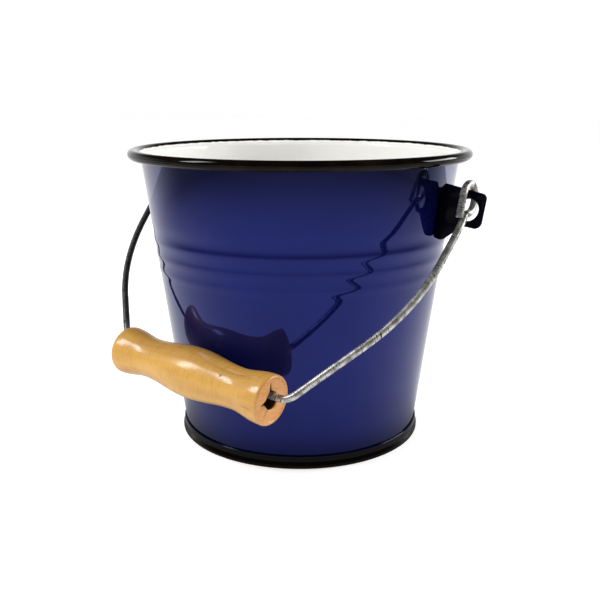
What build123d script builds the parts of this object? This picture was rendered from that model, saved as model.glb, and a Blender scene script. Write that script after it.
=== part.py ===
"""Enamelled steel milk pail with a swinging wire bail and a turned wooden grip.

Millimetres, +Z up. The origin is the centre of the circle that the foot stands on.
The ears are on +X and -X. The bail hangs towards -Y, and its grip rests by the wall.
"""
from build123d import *
from math import acos, atan2, cos, degrees, radians, sin, sqrt, tan
import os

os.makedirs("parts", exist_ok=True)

# Pail
HEIGHT = 171.0
RIM_RADIUS = 100.0
WALL_RADIUS_AT_FOOT = 71.0     # the wall's outer cone carried down to z = 0
WALL_ANGLE = 7.4               # degrees that the wall leans outwards
STEEL = 0.8                    # pressed sheet with its outer enamel
LINING = 0.2                   # white enamel fused on the inside
WALL_BOTTOM = 4.2

# Three shallow outward beads rolled round the wall
BEAD_HEIGHTS = (102.7, 111.2, 120.0)
BEAD_HALF_WIDTH = 3.5
BEAD_DEPTH = 0.6

# Rim: the lip turns outwards and curls round a steel wire
CURL_RADIUS = 2.8
LIP_SPLIT = 136.0              # degrees round the lip where the black edging starts
CURL_END = -185.0              # degrees round the curl where its sheet ends
RIM_WIRE_RADIUS = 1.75

# Bottom pan and foot ring
FLOOR_HEIGHT = 8.8
FLOOR_RISE = 1.5
FLOOR_STEP_INNER = 44.0
FLOOR_STEP_OUTER = 49.5
FLOOR_CORNER_RADIUS = 3.0
FOOT_RADIUS = 73.7
FOOT_HEIGHT = 7.3
FOOT_SHEET = 1.0
FOOT_HEM = 1.8                 # the folded edge is two sheets thick

# Ears: a flange curved to the wall and a tab that stands straight out
EAR_SHEET = 1.6
TAB_TOP_AT_WALL = 155.8
TAB_BOTTOM_AT_WALL = 127.7
TAB_TOP_CORNER = (117.4, 151.0)
TAB_LOW_CORNER = (114.3, 132.3)
TAB_NECK = (104.6, 133.6)
TAB_LOBE = (92.6, 124.6)
HOLE_CENTRE = (106.1, 142.4)
HOLE_RADIUS = 5.9
FLANGE_WIDTH = 22.0
FLANGE_LOW = 126.5
FLANGE_HIGH = 152.5
FLANGE_CORNER_RADIUS = 5.0
BEND_RADIUS = 2.2              # outside of the bend
EAR_LOW = 120.0                # the sheet that the ear is cut from
EAR_HIGH = 159.0
EAR_REACH = 120.0

# Bail: s runs along +X, t from the pivot towards the grip, w across the bail's plane
PIVOT_HALF_SPAN = 108.0
PIVOT_HEIGHT = 150.6
REST_ANGLE = 44.1              # degrees below horizontal
WIRE_RADIUS = 1.95
EYE_RADIUS = 7.8               # to the middle of the wire
EYE_OFFSET = 2.9               # from the pivot to the eye's centre
EYE_TIP = (16.4, -1.4)         # (t, w) of the wire's end, beside the shank
SHANK_OFFSET = 3.1             # how far the shank lies below the eye's centre
NECK_RADIUS = 5.0
SHANK_END = 20.0
RIGHT_SHOULDER = (103.2, 71.6)
RIGHT_CORNER = (57.3, 134.1)
LEFT_CORNER = (-59.4, 126.3)   # bent by hand, so the two sides differ
LEFT_SHOULDER = (-102.9, 69.9)
SHANK_BEND_RADIUS = 60.0
SHOULDER_RADIUS = 110.0
RIGHT_CORNER_RADIUS = 9.0
LEFT_CORNER_RADIUS = 6.0

# Grip, measured along its own axis from its middle
GRIP_LENGTH = 107.0
GRIP_END_RADIUS = 13.4
GRIP_WAIST_RADIUS = 11.1
GRIP_WAIST_AT = 31.5
GRIP_SWELL_RADIUS = 13.95
GRIP_BORE_RADIUS = 4.7
GRIP_LIP_RADIUS = 2.0
GRIP_SHIFT = -4.5              # it has slid this far along X
GRIP_HANG_RIGHT = (2.3, 0.75)  # (t, w) that it hangs off the wire, within its bore's play
GRIP_HANG_LEFT = (1.85, -1.25)

SLOPE = tan(radians(WALL_ANGLE))
SHEET = STEEL + LINING
CURL_CENTRE = (RIM_RADIUS - CURL_RADIUS, HEIGHT - CURL_RADIUS)
LIP_RADIUS = (
    (CURL_CENTRE[0] - WALL_RADIUS_AT_FOOT - (HEIGHT - SHEET) * SLOPE)
    * cos(radians(WALL_ANGLE)) / (1 - sin(radians(WALL_ANGLE)))
)
LIP_CENTRE = (CURL_CENTRE[0], HEIGHT - SHEET - LIP_RADIUS)


def wall_point(z, depth=0.0):
    """Point at height z, this deep under the wall's outer surface, as (radius, height)."""
    return (WALL_RADIUS_AT_FOOT + z * SLOPE - depth / cos(radians(WALL_ANGLE)), z)


def polar(centre, radius, angle):
    return (centre[0] + radius * cos(radians(angle)), centre[1] + radius * sin(radians(angle)))


def arc(centre, radius, start, end):
    """Arc about a point of the section, from one angle to another in degrees."""
    middle = (start + end) / 2
    return ThreePointArc(*[polar(centre, radius, angle) for angle in (start, middle, end)])


def wall_line(depth, low):
    """The wall's line at one depth, from height low over the beads to the lip's split."""
    edges = []
    last = wall_point(low, depth)
    for height in BEAD_HEIGHTS:
        start = wall_point(height - BEAD_HALF_WIDTH, depth)
        end = wall_point(height + BEAD_HALF_WIDTH, depth)
        edges.append(Line(last, start))
        edges.append(ThreePointArc(start, wall_point(height, depth - BEAD_DEPTH), end))
        last = end
    lip = LIP_RADIUS + depth
    edges.append(Line(last, polar(LIP_CENTRE, lip, 180 - WALL_ANGLE)))
    edges.append(arc(LIP_CENTRE, lip, 180 - WALL_ANGLE, LIP_SPLIT))
    return edges


def spun(edges):
    """Solid turned about Z from a closed outline drawn as (radius, height)."""
    face = Plane.XZ * make_face(Curve() + edges)
    return revolve(face, Axis.Z, 360)


def pail_wall():
    outer = wall_line(0, WALL_BOTTOM)
    inner = wall_line(STEEL, WALL_BOTTOM)
    ends = [Line(outer[0] @ 0, inner[0] @ 0), Line(outer[-1] @ 1, inner[-1] @ 1)]
    return spun(outer + inner + ends)


def floor_line(drop, outer):
    """The pan's line, this far under the floor, from the axis to the point outer."""
    centre = FLOOR_HEIGHT + FLOOR_RISE - drop
    edge = FLOOR_HEIGHT - drop
    points = [(0, centre), (FLOOR_STEP_INNER, centre), (FLOOR_STEP_OUTER, edge), outer]
    return FilletPolyline(*points, radius=6.0)


def bottom_pan():
    """Raised floor with an edge turned down inside the wall."""
    top_edge = wall_point(FLOOR_HEIGHT, STEEL)
    low_edge = wall_point(FLOOR_HEIGHT - STEEL, 2 * STEEL)
    top = floor_line(0, top_edge)
    low = floor_line(STEEL, low_edge)
    flange = Polyline(
        top_edge, wall_point(WALL_BOTTOM, STEEL), wall_point(WALL_BOTTOM, 2 * STEEL), low_edge
    )
    return spun([top, low, flange, Line(top @ 0, low @ 0)])


def enamel_lining():
    """White coat over the floor and up the wall to the lip."""
    outer = wall_line(STEEL, FLOOR_HEIGHT)
    rise = FLOOR_HEIGHT + LINING
    inner = wall_line(SHEET, rise + FLOOR_CORNER_RADIUS)
    corner = wall_point(rise, SHEET)
    low = floor_line(0, wall_point(FLOOR_HEIGHT, STEEL))
    top = floor_line(-LINING, (corner[0] - FLOOR_CORNER_RADIUS, rise))
    turn = ThreePointArc(
        top @ 1,
        polar((top.position_at(1).X, rise + FLOOR_CORNER_RADIUS), FLOOR_CORNER_RADIUS * 1.03, -45),
        inner[0] @ 0,
    )
    ends = [Line(low @ 0, top @ 0), Line(outer[-1] @ 1, inner[-1] @ 1)]
    return spun(outer + inner + [low, top, turn] + ends)


def rim_bead():
    """Black-edged lip that curls outwards, down and back to the wall."""
    inner = CURL_RADIUS - SHEET
    edges = [
        arc(LIP_CENTRE, LIP_RADIUS + SHEET, LIP_SPLIT, 90),
        arc(CURL_CENTRE, CURL_RADIUS, 90, CURL_END),
        Line(polar(CURL_CENTRE, CURL_RADIUS, CURL_END), polar(CURL_CENTRE, inner, CURL_END)),
        arc(CURL_CENTRE, inner, CURL_END, 90),
        arc(LIP_CENTRE, LIP_RADIUS, 90, LIP_SPLIT),
        Line(polar(LIP_CENTRE, LIP_RADIUS, LIP_SPLIT),
             polar(LIP_CENTRE, LIP_RADIUS + SHEET, LIP_SPLIT)),
    ]
    return spun(edges)


def rim_wire():
    """Stiffening wire inside the curl."""
    circle = Plane.XZ * Pos(*CURL_CENTRE) * Circle(RIM_WIRE_RADIUS)
    return revolve(circle, Axis.Z, 360)


def foot_ring():
    """Band lapped over the foot of the wall, flared to a folded edge that it stands on."""
    top = wall_point(FOOT_HEIGHT)
    lap = wall_point(WALL_BOTTOM)
    hem = FOOT_RADIUS - FOOT_HEM
    points = [
        top, (top[0] + FOOT_SHEET, FOOT_HEIGHT), (lap[0] + FOOT_SHEET, WALL_BOTTOM),
        (FOOT_RADIUS, 1.8), (FOOT_RADIUS, 0), (hem, 0), (hem, 1.6), lap,
    ]
    radii = [0.1, 0.4, 2.0, 1.0, 0.7, 0.3, 0.5, 0.1]
    return spun([FilletPolyline(*points, radius=radii, close=True)])


def bent_sheet():
    """The ear's sheet seen from above: the tab along X, one bend, and the flange by the wall.

    It is carried up along the wall's slope, and the two outlines are cut from it.
    """
    root = wall_point(EAR_LOW)[0]
    half = EAR_SHEET / 2
    bend = (root + BEND_RADIUS, BEND_RADIUS - half)
    drop = FLANGE_WIDTH**2 / (2 * wall_point(FLANGE_HIGH)[0])
    curve = (FLANGE_WIDTH - bend[1]) ** 2 / (2 * drop)
    centre = (root - curve, bend[1])
    sweep_angle = degrees((FLANGE_WIDTH - bend[1]) / curve)
    outer = curve + EAR_SHEET
    edges = [
        Line((EAR_REACH, -half), (bend[0], -half)),
        arc(bend, BEND_RADIUS, 270, 180),
        arc(centre, curve, 0, sweep_angle),
        Line(polar(centre, curve, sweep_angle), polar(centre, outer, sweep_angle)),
        arc(centre, outer, sweep_angle, 0),
        arc(bend, BEND_RADIUS - EAR_SHEET, 180, 270),
        Line((bend[0], half), (EAR_REACH, half)),
        Line((EAR_REACH, half), (EAR_REACH, -half)),
    ]
    section = Pos(0, 0, EAR_LOW) * make_face(Curve() + edges)
    rise = EAR_HIGH - EAR_LOW
    return extrude(section, rise / cos(radians(WALL_ANGLE)), dir=(SLOPE, 0, 1))


def tab_outline():
    """Outline of the part that stands out, with the round hole for the bail's eye."""
    points = [wall_point(TAB_TOP_AT_WALL, 2.0), TAB_TOP_CORNER, TAB_LOW_CORNER,
              TAB_NECK, TAB_LOBE, wall_point(TAB_BOTTOM_AT_WALL, 2.0)]
    radii = [0.3, 3.0, 3.5, 3.0, 4.0, 0.3]
    outline = make_face(FilletPolyline(*points, radius=radii, close=True))
    outline -= Pos(*HOLE_CENTRE) * Circle(HOLE_RADIUS)
    return extrude(Plane.XZ * outline, BEND_RADIUS, both=True)


def flange_outline():
    """Outline of the part that is welded to the wall, seen along X."""
    width = 2 * FLANGE_WIDTH
    height = FLANGE_HIGH - FLANGE_LOW
    plate = RectangleRounded(width, height, FLANGE_CORNER_RADIUS)
    middle = (FLANGE_HIGH + FLANGE_LOW) / 2
    reach = extrude(Plane.YZ * Pos(0, middle) * plate, wall_point(FLANGE_HIGH, -EAR_SHEET)[0])
    return reach & Pos(0, FLANGE_WIDTH / 2, middle) * Box(
        2 * EAR_REACH, FLANGE_WIDTH + 2 * BEND_RADIUS, height
    )


def ear():
    """One ear on +X. Its tab lies in the XZ plane and its flange runs towards +Y."""
    sheet = bent_sheet()
    return (sheet & tab_outline()) + (sheet & flange_outline())


def on_bail(s, t, w=0.0):
    """Place a point of the hanging bail: along X, out from the pivot, and across its plane."""
    angle = radians(REST_ANGLE)
    y = -t * cos(angle) + w * sin(angle)
    z = PIVOT_HEIGHT - t * sin(angle) - w * cos(angle)
    return Vector(s, y, z)


def eye_path(side):
    """Straight tip, ring and neck of one eye, and the distance out where its shank starts."""
    out, across = EYE_TIP[0] - EYE_OFFSET, EYE_TIP[1]
    tip_distance = sqrt(out**2 + across**2)
    leave = 360 + degrees(atan2(across, out) - acos(EYE_RADIUS / tip_distance))
    reach = EYE_RADIUS + NECK_RADIUS
    neck_w = SHANK_OFFSET + NECK_RADIUS
    neck_t = EYE_OFFSET + sqrt(reach**2 - neck_w**2)
    joint = degrees(atan2(neck_w, neck_t - EYE_OFFSET))

    def place(centre, radius, angle):
        return on_bail(side * PIVOT_HALF_SPAN, *polar(centre, radius, angle))

    def bend(centre, radius, start, end):
        angles = (start, (start + end) / 2, end)
        return ThreePointArc(*[place(centre, radius, angle) for angle in angles])

    ring = (EYE_OFFSET, 0)
    half = (leave + joint) / 2
    return [
        Line(on_bail(side * PIVOT_HALF_SPAN, *EYE_TIP), place(ring, EYE_RADIUS, leave)),
        bend(ring, EYE_RADIUS, leave, half),
        bend(ring, EYE_RADIUS, half, joint),
        bend((neck_t, neck_w), NECK_RADIUS, 180 + joint, 270),
    ], neck_t


def bail_path():
    """The whole wire's centre line, from one eye's tip to the other's."""
    right, start = eye_path(1)
    left, start = eye_path(-1)
    points = [
        (PIVOT_HALF_SPAN, start), (PIVOT_HALF_SPAN, SHANK_END), RIGHT_SHOULDER, RIGHT_CORNER,
        LEFT_CORNER, LEFT_SHOULDER, (-PIVOT_HALF_SPAN, SHANK_END), (-PIVOT_HALF_SPAN, start),
    ]
    radii = [
        SHANK_BEND_RADIUS, SHOULDER_RADIUS, RIGHT_CORNER_RADIUS,
        LEFT_CORNER_RADIUS, SHOULDER_RADIUS, SHANK_BEND_RADIUS,
    ]
    bow = FilletPolyline(*[on_bail(s, t, SHANK_OFFSET) for s, t in points], radius=radii)
    return Wire([*right, *bow.edges(), *left])


def bail_wire():
    path = bail_path()
    section = Plane(origin=path @ 0, z_dir=path % 0) * Circle(WIRE_RADIUS)
    return sweep(section, path=path)


def beside_wire(corner, hang):
    """Point of the grip's axis beside one corner of the bow."""
    return on_bail(corner[0], corner[1] + hang[0], SHANK_OFFSET + hang[1])


def grip():
    """Turned wooden grip, loose on the straight middle of the wire."""
    half = GRIP_LENGTH / 2
    outline = Spline(
        (-half + GRIP_LIP_RADIUS, GRIP_END_RADIUS), (-GRIP_WAIST_AT, GRIP_WAIST_RADIUS),
        (0, GRIP_SWELL_RADIUS), (GRIP_WAIST_AT, GRIP_WAIST_RADIUS),
        (half - GRIP_LIP_RADIUS, GRIP_END_RADIUS),
        tangents=((1, 0), (1, 0)),
    )
    edges = [outline]
    for side in (-1, 1):
        lip = (side * (half - GRIP_LIP_RADIUS), GRIP_END_RADIUS - GRIP_LIP_RADIUS)
        edges.append(arc(lip, GRIP_LIP_RADIUS, 90, 90 - side * 90))
        edges.append(Line((side * half, lip[1]), (side * half, GRIP_BORE_RADIUS)))
    edges.append(Line((-half, GRIP_BORE_RADIUS), (half, GRIP_BORE_RADIUS)))
    turned = revolve(make_face(Curve() + edges), Axis.X, 360)
    right = beside_wire(RIGHT_CORNER, GRIP_HANG_RIGHT)
    left = beside_wire(LEFT_CORNER, GRIP_HANG_LEFT)
    along = (right - left).normalized()
    share = (GRIP_SHIFT - left.X) / (right.X - left.X)
    middle = left + (right - left) * share
    return Plane(origin=middle, x_dir=along, z_dir=along.cross(Vector(0, 1, 0))) * turned


parts = {
    "pail_wall": pail_wall(),
    "enamel_lining": enamel_lining(),
    "rim_bead": rim_bead(),
    "rim_wire": rim_wire(),
    "bottom_pan": bottom_pan(),
    "foot_ring": foot_ring(),
    "ear_right": ear(),
    "ear_left": Rot(0, 0, 180) * ear(),
    "bail_wire": bail_wire(),
    "grip": grip(),
}
for name, solid in parts.items():
    export_step(solid, f"parts/{name}.step")
    print(name, round(solid.volume), solid.is_valid)
print("grip to wall", round(parts["grip"].distance_to(parts["pail_wall"]), 2))
print("grip to wire", round(parts["grip"].distance_to(parts["bail_wire"]), 2))
print("eye to ear", round(parts["bail_wire"].distance_to(parts["ear_right"]), 2))
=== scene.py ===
# %% [markdown]
# # An enamelled milk pail
#
# This lesson dresses a finished CAD model of a small enamelled pail. The CAD part fixes every size
# and joint. Blender makes the surfaces that catch the eye: wet-looking vitreous enamel over pressed
# steel, a bail of dull galvanised wire, and a wooden grip under clear lacquer.
# Everything is in metres, in the CAD part's own frame: +Z is up, the ears are on +X and -X, and the
# bail hangs towards -Y.

# %% Load the frame
from math import acos, asin, atan2, cos, degrees, exp, pi, radians, sin, sqrt, tan

import bmesh
import bpy
from mathutils import Matrix, Vector, noise


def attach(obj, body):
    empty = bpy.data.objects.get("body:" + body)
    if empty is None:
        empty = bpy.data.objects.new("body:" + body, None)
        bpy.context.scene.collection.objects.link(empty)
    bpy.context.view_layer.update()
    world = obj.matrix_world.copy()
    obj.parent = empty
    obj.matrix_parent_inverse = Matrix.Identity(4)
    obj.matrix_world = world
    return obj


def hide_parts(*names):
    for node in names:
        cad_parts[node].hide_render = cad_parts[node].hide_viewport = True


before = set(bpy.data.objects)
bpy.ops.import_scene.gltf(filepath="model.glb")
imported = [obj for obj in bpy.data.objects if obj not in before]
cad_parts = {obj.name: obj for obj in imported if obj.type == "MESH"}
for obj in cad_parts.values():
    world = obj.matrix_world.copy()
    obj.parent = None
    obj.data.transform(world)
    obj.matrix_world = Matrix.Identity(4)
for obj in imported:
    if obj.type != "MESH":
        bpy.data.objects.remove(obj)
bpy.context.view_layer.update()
MM = 0.001
scene = bpy.context.scene

# %% [markdown]
# ## Camera, floor and light
#
# Glossy enamel shows whatever stands round it, so it is best lit in a white tent. A white world
# lights the pail from all sides, and two long soft boxes give the rim and the lacquer their
# highlights. In a tent alone, black enamel turns grey all over, so part of what it mirrors is
# darkened. The world is darker above and in front for mirror rays only, and a grey card lies on
# the table that neither the camera nor the soft light sees.

# %% Camera
CAMERA_DISTANCE = 0.4788
CAMERA_HEIGHT = 0.2025
CAMERA_AZIMUTH = 34.6          # degrees round from the front, towards +X
CAMERA_DROP = 14.6             # degrees that it looks down
LENS = 48.03                   # millimetres, on a 36 mm sensor

camera_data = bpy.data.cameras.new("camera")
camera_data.lens = LENS
camera_data.sensor_width = 36.0
camera_data.clip_start = 0.01
camera = bpy.data.objects.new("camera", camera_data)
camera.location = (
    CAMERA_DISTANCE * sin(radians(CAMERA_AZIMUTH)),
    -CAMERA_DISTANCE * cos(radians(CAMERA_AZIMUTH)),
    CAMERA_HEIGHT,
)
camera.rotation_euler = (radians(90 - CAMERA_DROP), 0, radians(CAMERA_AZIMUTH))
scene.collection.objects.link(camera)
scene.camera = camera
scene.view_settings.view_transform = "Standard"
print("camera at", [round(v, 4) for v in camera.location])

# %% Colours and shader nodes


def paint(code):
    """Turn an sRGB hex colour such as "#1A2B3C" into the linear colour that shaders use."""
    channels = [int(code[i:i + 2], 16) / 255 for i in (1, 3, 5)]
    linear = [c / 12.92 if c <= 0.04045 else ((c + 0.055) / 1.055) ** 2.4 for c in channels]
    return (*linear, 1.0)


def feed(tree, target, value):
    """Give a socket a plain value, or link it to an output or to a node's first output."""
    if isinstance(value, bpy.types.Node):
        value = value.outputs[0]
    if isinstance(value, bpy.types.NodeSocket):
        tree.links.new(value, target)
    else:
        target.default_value = value


def add(tree, kind, sockets=None, **settings):
    """Add one node. Settings are its properties, and each of the sockets is fed its value."""
    node = tree.nodes.new(kind)
    for name, value in settings.items():
        setattr(node, name, value)
    for socket, value in (sockets or {}).items():
        feed(tree, node.inputs[socket], value)
    return node


def plug(tree, shader, **sources):
    """Feed a shader's sockets by their names."""
    for socket, source in sources.items():
        feed(tree, shader.inputs[socket.replace("_", " ")], source)


def start_material(name, **constants):
    """A material, its tree, its Principled shader with these constants, and Object coordinates."""
    material = bpy.data.materials.new(name)
    material.use_nodes = True
    tree = material.node_tree
    shader = tree.nodes["Principled BSDF"]
    plug(tree, shader, **constants)
    return material, tree, shader, add(tree, "ShaderNodeTexCoord").outputs["Object"]


def place_mesh(name, mesh):
    """An object for a mesh whose points are already in place."""
    placed = bpy.data.objects.new(name, mesh)
    scene.collection.objects.link(placed)
    return placed


print("mid grey in linear light:", round(paint("#808080")[0], 4))

# %% Floor
FLOOR_SIZE = 12.0


def flat_square(name, size, height, material):
    """A level square stage piece, centred under the pail."""
    mesh = bpy.data.meshes.new(name)
    half = size / 2
    mesh.from_pydata([(-half, -half, height), (half, -half, height), (half, half, height),
                      (-half, half, height)], [], [(0, 1, 2, 3)])
    mesh.materials.append(material)
    square = place_mesh(name, mesh)
    return square


# The table glows a little, as a white acrylic sheet does that is lit from below
white_table = start_material(
    "matt_white_table", Base_Color=paint("#F2F2F2"), Roughness=0.9, Specular_IOR_Level=0.2,
    Emission_Color=paint("#FFFFFF"), Emission_Strength=0.42,
)[0]
flat_square("floor", FLOOR_SIZE, 0.0, white_table)
print("floor", FLOOR_SIZE, "m across")

# %% Grey card on the table, seen only in mirrors
CARD_SIZE = 1.6
CARD_HEIGHT = 0.0005
CARD_BRIGHTNESS = 1.1
CARD_STOPS = (                 # (metres from the pail's axis, share of full brightness)
    (0.078, 0.25), (0.1, 0.62), (0.13, 0.85), (0.18, 1.0), (0.34, 1.0), (0.42, 0.88),
    (0.50, 0.6), (0.60, 0.25),
)
FAR_SIDE, NEAR_SIDE = -0.75, 0.1   # cosines of the angle from the camera, for the grey's turn
TO_CAMERA = Vector((sin(radians(CAMERA_AZIMUTH)), -cos(radians(CAMERA_AZIMUTH)), 0))


def towards_front(tree, direction):
    """1 on the camera's side and 0 on the far side, with a smooth turn between."""
    flat = add(tree, "ShaderNodeVectorMath", {0: direction, 1: (1, 1, 0)}, operation="MULTIPLY")
    unit = add(tree, "ShaderNodeVectorMath", {0: flat}, operation="NORMALIZE")
    facing = add(tree, "ShaderNodeVectorMath", {0: unit, 1: TO_CAMERA},
                 operation="DOT_PRODUCT").outputs["Value"]
    return add(tree, "ShaderNodeMapRange", {
        "Value": facing, "From Min": FAR_SIDE, "From Max": NEAR_SIDE,
    }, interpolation_type="SMOOTHSTEP")


def grey_card():
    material, tree, shader, coords = start_material(
        "grey_card", Base_Color=(0, 0, 0, 1), Specular_IOR_Level=0.0,
        Emission_Strength=CARD_BRIGHTNESS,
    )
    away = add(tree, "ShaderNodeVectorMath", {0: coords}, operation="LENGTH").outputs["Value"]
    ramp = add(tree, "ShaderNodeValToRGB", {0: away})
    while len(ramp.color_ramp.elements) < len(CARD_STOPS):
        ramp.color_ramp.elements.new(0.5)
    for element, (distance, share) in zip(ramp.color_ramp.elements, CARD_STOPS):
        element.position = distance
        element.color = (share, share, share, 1)
    shade = add(tree, "ShaderNodeMix", {
        0: towards_front(tree, coords), 6: (1, 1, 1, 1), 7: ramp,
    }, data_type="RGBA").outputs[2]
    plug(tree, shader, Emission_Color=shade)
    return material


card = flat_square("grey_card", CARD_SIZE, CARD_HEIGHT, grey_card())
card.visible_camera = card.visible_diffuse = card.visible_shadow = False
card.visible_transmission = False
print("card", CARD_SIZE, "m across")

# %% World and soft boxes
WORLD_BRIGHTNESS = 0.67        # what soft light sees
BACKDROP_BRIGHTNESS = 1.05     # what the camera sees
MIRRORED_BRIGHTNESS = 1.05     # what enamel mirrors, low down and behind
MIRRORED_DARK = 0.025          # what it mirrors above and in front
PAIL_MIDDLE = Vector((0, 0, 0.1))
BRIGHT_BELOW, DARK_ABOVE = 0.12, 0.5   # sines of the elevations between which it darkens


def make_world():
    made = bpy.data.worlds.new("white_tent")
    made.use_nodes = True
    tree = made.node_tree
    direction = add(tree, "ShaderNodeTexCoord").outputs["Generated"]
    rise = add(tree, "ShaderNodeSeparateXYZ", {0: direction}).outputs["Z"]
    high = add(tree, "ShaderNodeMapRange", {
        "Value": rise, "From Min": BRIGHT_BELOW, "From Max": DARK_ABOVE,
    }, interpolation_type="SMOOTHSTEP")
    dark = add(tree, "ShaderNodeMath", {0: high, 1: towards_front(tree, direction)},
               operation="MAXIMUM")
    mirrored = add(tree, "ShaderNodeMapRange", {
        "Value": dark, "To Min": MIRRORED_BRIGHTNESS, "To Max": MIRRORED_DARK,
    })
    path = add(tree, "ShaderNodeLightPath").outputs
    soft = add(tree, "ShaderNodeMix", {
        0: path["Is Camera Ray"], 2: WORLD_BRIGHTNESS, 3: BACKDROP_BRIGHTNESS,
    }, data_type="FLOAT")
    level = add(tree, "ShaderNodeMix", {0: path["Is Glossy Ray"], 2: soft, 3: mirrored},
                data_type="FLOAT")
    plug(tree, tree.nodes["Background"], Color=(1, 1, 1, 1), Strength=level)
    return made


scene.world = make_world()


def soft_box(name, place, width, height, power):
    """A rectangular area light that faces the middle of the pail."""
    data = bpy.data.lights.new(name, "AREA")
    data.shape = "RECTANGLE"
    data.size = width
    data.size_y = height
    data.energy = power
    light = bpy.data.objects.new(name, data)
    light.location = place
    light.rotation_euler = (PAIL_MIDDLE - Vector(place)).to_track_quat("-Z", "Y").to_euler()
    scene.collection.objects.link(light)


soft_box("left_box", (-0.65, -0.70, 0.85), 0.25, 0.5, 9.0)
soft_box("right_box", (0.80, 0.83, 0.50), 0.7, 0.3, 10.0)

# %% [markdown]
# ## Turned pieces
#
# Almost all of a pail is round, so one Geometry Nodes tree turns any outline about the Z axis, as a
# spinning lathe presses sheet over a former. The outline is a chain of points (radius, height). The
# tree lays out a grid with a row for each point, wraps the grid round, and closes the seam. A low,
# wide noise moves the sheet in and out by a fraction of a millimetre, because pressed sheet is
# never a perfect cone, and the mirror finish of enamel shows it.

# %% The turning tree
SEAM = 0.004                   # millimetres within which the seam's points join
NOISE_TAKEN = 0.75             # more than the noise's mean, so the sheet moves in more than out


def start_tree(name, inputs):
    """A Geometry Nodes tree with these (name, kind, default) inputs and a geometry output."""
    tree = bpy.data.node_groups.new(name, "GeometryNodeTree")
    for label, kind, default in inputs:
        socket = tree.interface.new_socket(label, in_out="INPUT", socket_type="NodeSocket" + kind)
        if default is not None:
            socket.default_value = default
    tree.interface.new_socket("Geometry", in_out="OUTPUT", socket_type="NodeSocketGeometry")
    return tree, add(tree, "NodeGroupInput").outputs


def end_tree(tree, geometry, finish):
    """Shade smooth, realize instances and set the material, as every tree here ends."""
    smooth = add(tree, "GeometryNodeSetShadeSmooth", {"Geometry": geometry})
    real = add(tree, "GeometryNodeRealizeInstances", {"Geometry": smooth})
    dressed = add(tree, "GeometryNodeSetMaterial", {"Geometry": real, "Material": finish})
    add(tree, "NodeGroupOutput", {"Geometry": dressed})


def make_turning_tree():
    tree, given = start_tree("turn_outline", (
        ("Outline", "Object", None), ("Steps", "Int", 64), ("Wander", "Float", 0.0),
        ("Wander Scale", "Float", 12.0), ("Finish", "Material", None),
    ))
    outline = add(tree, "GeometryNodeObjectInfo", {"Object": given["Outline"]})
    size = add(tree, "GeometryNodeAttributeDomainSize", {"Geometry": outline.outputs["Geometry"]})
    columns = add(tree, "ShaderNodeMath", {0: given["Steps"], 1: 1.0}, operation="ADD")
    grid = add(tree, "GeometryNodeMeshGrid", {
        "Vertices X": size.outputs["Point Count"], "Vertices Y": columns,
    })
    index = add(tree, "GeometryNodeInputIndex")
    middle = add(tree, "ShaderNodeMath", {0: index, 1: 0.5}, operation="ADD")
    share = add(tree, "ShaderNodeMath", {0: middle, 1: columns}, operation="DIVIDE")
    row = add(tree, "ShaderNodeMath", {0: share}, operation="FLOOR")
    skipped = add(tree, "ShaderNodeMath", {0: row, 1: columns}, operation="MULTIPLY")
    column = add(tree, "ShaderNodeMath", {0: index, 1: skipped}, operation="SUBTRACT")
    turn = add(tree, "ShaderNodeMath", {0: column, 1: 2 * pi}, operation="MULTIPLY")
    angle = add(tree, "ShaderNodeMath", {0: turn, 1: given["Steps"]}, operation="DIVIDE")
    place = add(tree, "GeometryNodeInputPosition")
    point = add(tree, "GeometryNodeSampleIndex", {
        "Geometry": outline.outputs["Geometry"], "Value": place, "Index": row,
    }, data_type="FLOAT_VECTOR")
    split = add(tree, "ShaderNodeSeparateXYZ", {0: point}).outputs
    across = add(tree, "ShaderNodeMath", {0: angle}, operation="COSINE")
    along = add(tree, "ShaderNodeMath", {0: angle}, operation="SINE")
    outward = add(tree, "ShaderNodeCombineXYZ", {0: across, 1: along})
    flat = add(tree, "ShaderNodeVectorMath", {0: outward, "Scale": split["X"]}, operation="SCALE")
    lift = add(tree, "ShaderNodeCombineXYZ", {2: split["Z"]})
    whole = add(tree, "ShaderNodeVectorMath", {0: flat, 1: lift}, operation="ADD")
    wave = add(tree, "ShaderNodeTexNoise", {
        "Vector": whole, "Scale": given["Wander Scale"], "Detail": 1.0,
    })
    centred = add(tree, "ShaderNodeMath", {0: wave, 1: NOISE_TAKEN}, operation="SUBTRACT")
    drift = add(tree, "ShaderNodeMath", {0: centred, 1: given["Wander"]}, operation="MULTIPLY")
    push = add(tree, "ShaderNodeVectorMath", {0: outward, "Scale": drift}, operation="SCALE")
    moved = add(tree, "GeometryNodeSetPosition", {
        "Geometry": grid.outputs["Mesh"], "Position": whole, "Offset": push,
    })
    closed = add(tree, "GeometryNodeMergeByDistance", {"Geometry": moved, "Distance": SEAM * MM})
    end_tree(tree, closed, given["Finish"])
    return tree


turning_tree = make_turning_tree()
print("turning tree:", len(turning_tree.nodes), "nodes")

# %% Run a tree and keep its mesh
WANDER = 0.35                  # millimetres, how far the noise moves the sheet
WANDER_SCALE = 14.0            # waves per metre, so a wave is about 70 mm long


def keep_result(name, tree, values):
    """Run a Geometry Nodes tree with these inputs and keep the result as a plain mesh object."""
    holder = place_mesh("holder", bpy.data.meshes.new("holder"))
    modifier = holder.modifiers.new("tree", "NODES")
    modifier.node_group = tree
    for item in tree.interface.items_tree:
        if item.in_out == "INPUT" and item.name in values:
            modifier[item.identifier] = values[item.name]
    bpy.context.view_layer.update()
    graph = bpy.context.evaluated_depsgraph_get()
    mesh = bpy.data.meshes.new_from_object(holder.evaluated_get(graph), depsgraph=graph)
    bpy.data.objects.remove(holder)
    mesh.name = name
    return place_mesh(name, mesh)


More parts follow.
